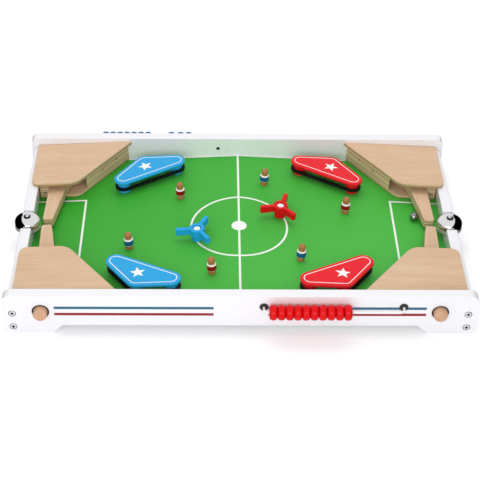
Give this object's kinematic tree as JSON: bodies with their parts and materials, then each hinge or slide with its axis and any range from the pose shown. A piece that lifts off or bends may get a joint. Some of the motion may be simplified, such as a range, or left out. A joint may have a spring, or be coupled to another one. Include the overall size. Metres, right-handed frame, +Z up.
{
  "type": "tabletop pinball game",
  "caption": "Wooden tabletop football pinball game: push buttons swing wooden flippers over a peaked green pitch, with bumpers, spinners, bells and score beads.",
  "frame": {"origin": "on the surface the table stands on, under the middle of the table", "axes": "+X along the long rails, +Y from the front rail to the rear rail, +Z up"},
  "size_m": [0.6116, 0.412, 0.06],
  "materials": {
    "white_lacquer": "satin white lacquer on wood",
    "green_pitch": "printed green board with white field lines",
    "beech_plywood": "clear varnished beech plywood",
    "beech_dowel": "sanded beech",
    "red_paint": "glossy red paint on wood",
    "blue_paint": "glossy blue paint on wood",
    "red_beads": "glossy red paint on wood",
    "blue_beads": "glossy blue paint on wood",
    "black_rubber": "matt",
    "chrome_bell": "polished nickel plate",
    "bare_steel": "bright",
    "white_wire": "white coated steel wire"
  },
  "bodies": {
    "table": {"front_rail": "white_lacquer", "rear_rail": "white_lacquer", "left_end_rail": "white_lacquer", "right_end_rail": "white_lacquer", "playfield": "green_pitch", "cover_rear_left": "beech_plywood", "housing_rear_left": "beech_plywood", "return_spring_rear_left": "bare_steel", "bumper_rear_left": "blue_paint", "bumper_band_rear_left": "black_rubber", "cover_rear_right": "beech_plywood", "housing_rear_right": "beech_plywood", "return_spring_rear_right": "bare_steel", "bumper_rear_right": "red_paint", "bumper_band_rear_right": "black_rubber", "cover_front_left": "beech_plywood", "housing_front_left": "beech_plywood", "return_spring_front_left": "bare_steel", "bumper_front_left": "blue_paint", "bumper_band_front_left": "black_rubber", "cover_front_right": "beech_plywood", "housing_front_right": "beech_plywood", "return_spring_front_right": "bare_steel", "bumper_front_right": "red_paint", "bumper_band_front_right": "black_rubber", "red_spinner_screw": "bare_steel", "red_player_1": "red_paint", "red_player_2": "red_paint", "red_player_3": "red_paint", "blue_spinner_screw": "bare_steel", "blue_player_1": "blue_paint", "blue_player_2": "blue_paint", "blue_player_3": "blue_paint", "left_bell": "chrome_bell", "left_bell_post": "bare_steel", "right_bell": "chrome_bell", "right_bell_post": "bare_steel", "front_score_rod": "white_wire", "rear_score_rod": "white_wire"},
    "rear_left_button": {"push_button_rear_left": "beech_dowel"},
    "rear_left_flipper": {"flipper_rear_left": "beech_plywood"},
    "rear_right_button": {"push_button_rear_right": "beech_dowel"},
    "rear_right_flipper": {"flipper_rear_right": "beech_plywood"},
    "front_left_button": {"push_button_front_left": "beech_dowel"},
    "front_left_flipper": {"flipper_front_left": "beech_plywood"},
    "front_right_button": {"push_button_front_right": "beech_dowel"},
    "front_right_flipper": {"flipper_front_right": "beech_plywood"},
    "blue_spinner": {"blue_spinner": "blue_paint"},
    "red_spinner": {"red_spinner": "red_paint"},
    "ball": {"steel_ball": "bare_steel"},
    "red_bead_10": {"red_bead_10": "red_beads"},
    "red_bead_9": {"red_bead_9": "red_beads"},
    "red_bead_8": {"red_bead_8": "red_beads"},
    "red_bead_7": {"red_bead_7": "red_beads"},
    "red_bead_row": {"red_bead_row": "red_beads"},
    "blue_bead_10": {"blue_bead_10": "blue_beads"},
    "blue_bead_9": {"blue_bead_9": "blue_beads"},
    "blue_bead_8": {"blue_bead_8": "blue_beads"},
    "blue_bead_7": {"blue_bead_7": "blue_beads"},
    "blue_bead_row": {"blue_bead_row": "blue_beads"}
  },
  "joints": [
    {"name": "rear_left_button_press", "type": "slide", "parent": "table", "child": "rear_left_button", "axis": [0, -1, 0], "range_m": [0, 0.0086], "stiffness_N_per_m": 120, "springref_m": -0.003},
    {"name": "rear_left_flipper_swing", "type": "hinge", "parent": "table", "child": "rear_left_flipper", "pos_m": [-0.23581, 0.12, 0.03161], "axis": [-0.0508, 0, 0.9987], "range_deg": [0, 32]},
    {"name": "rear_right_button_press", "type": "slide", "parent": "table", "child": "rear_right_button", "axis": [0, -1, 0], "range_m": [0, 0.0086], "stiffness_N_per_m": 120, "springref_m": -0.003},
    {"name": "rear_right_flipper_swing", "type": "hinge", "parent": "table", "child": "rear_right_flipper", "pos_m": [0.23581, 0.12, 0.03161], "axis": [-0.0508, 0, -0.9987], "range_deg": [0, 32]},
    {"name": "front_left_button_press", "type": "slide", "parent": "table", "child": "front_left_button", "axis": [0, 1, 0], "range_m": [0, 0.0086], "stiffness_N_per_m": 120, "springref_m": -0.003},
    {"name": "front_left_flipper_swing", "type": "hinge", "parent": "table", "child": "front_left_flipper", "pos_m": [-0.23581, -0.12, 0.03161], "axis": [0.0508, 0, -0.9987], "range_deg": [0, 32]},
    {"name": "front_right_button_press", "type": "slide", "parent": "table", "child": "front_right_button", "axis": [0, 1, 0], "range_m": [0, 0.0086], "stiffness_N_per_m": 120, "springref_m": -0.003},
    {"name": "front_right_flipper_swing", "type": "hinge", "parent": "table", "child": "front_right_flipper", "pos_m": [0.23581, -0.12, 0.03161], "axis": [0.0508, 0, 0.9987], "range_deg": [0, 32]},
    {"name": "blue_spinner_turn", "type": "hinge", "parent": "table", "child": "blue_spinner", "pos_m": [-0.05694, -0.02631, 0.03871], "axis": [-0.0508, 0, 0.9987], "continuous": true},
    {"name": "red_spinner_turn", "type": "hinge", "parent": "table", "child": "red_spinner", "pos_m": [0.05694, 0.02631, 0.03871], "axis": [0.0508, 0, 0.9987], "continuous": true},
    {"name": "ball_roll", "type": "slide", "parent": "table", "child": "ball", "axis": [-0.9987, 0, 0.0508], "range_m": [0, 0.0544]},
    {"name": "red_bead_10_slide", "type": "slide", "parent": "table", "child": "red_bead_10", "axis": [1, 0, 0], "range_m": [0, 0.0596]},
    {"name": "red_bead_9_slide", "type": "slide", "parent": "table", "child": "red_bead_9", "axis": [1, 0, 0], "range_m": [0, 0.04778]},
    {"name": "red_bead_8_slide", "type": "slide", "parent": "table", "child": "red_bead_8", "axis": [1, 0, 0], "range_m": [0, 0.03586]},
    {"name": "red_bead_7_slide", "type": "slide", "parent": "table", "child": "red_bead_7", "axis": [1, 0, 0], "range_m": [0, 0.02394]},
    {"name": "red_bead_row_slide", "type": "slide", "parent": "table", "child": "red_bead_row", "axis": [1, 0, 0], "range_m": [0, 0.01202]},
    {"name": "blue_bead_10_slide", "type": "slide", "parent": "table", "child": "blue_bead_10", "axis": [1, 0, 0], "range_m": [0, 0.0318]},
    {"name": "blue_bead_9_slide", "type": "slide", "parent": "table", "child": "blue_bead_9", "axis": [1, 0, 0], "range_m": [0, 0.02713]},
    {"name": "blue_bead_8_slide", "type": "slide", "parent": "table", "child": "blue_bead_8", "axis": [1, 0, 0], "range_m": [0, 0.02236]},
    {"name": "blue_bead_7_slide", "type": "slide", "parent": "table", "child": "blue_bead_7", "axis": [1, 0, 0], "range_m": [0, 0.016]},
    {"name": "blue_bead_row_slide", "type": "slide", "parent": "table", "child": "blue_bead_row", "axis": [1, 0, 0], "range_m": [0, 0.00805]}
  ],
  "couplings": [
    {"joint": "rear_left_flipper_swing", "follows": "rear_left_button_press", "rad_per_m": 64.54},
    {"joint": "rear_right_flipper_swing", "follows": "rear_right_button_press", "rad_per_m": 64.54},
    {"joint": "front_left_flipper_swing", "follows": "front_left_button_press", "rad_per_m": 64.54},
    {"joint": "front_right_flipper_swing", "follows": "front_right_button_press", "rad_per_m": 64.54},
    {"joint": "ball_roll", "follows": "rear_right_button_press", "ratio": 6.3},
    {"joint": "red_bead_9_slide", "follows": "red_bead_10_slide", "ratio": 0.8},
    {"joint": "red_bead_8_slide", "follows": "red_bead_10_slide", "ratio": 0.6},
    {"joint": "red_bead_7_slide", "follows": "red_bead_10_slide", "ratio": 0.4},
    {"joint": "red_bead_row_slide", "follows": "red_bead_10_slide", "ratio": 0.2},
    {"joint": "blue_bead_9_slide", "follows": "blue_bead_10_slide", "ratio": 0.85},
    {"joint": "blue_bead_8_slide", "follows": "blue_bead_10_slide", "ratio": 0.7},
    {"joint": "blue_bead_7_slide", "follows": "blue_bead_10_slide", "ratio": 0.5},
    {"joint": "blue_bead_row_slide", "follows": "blue_bead_10_slide", "ratio": 0.25}
  ]
}
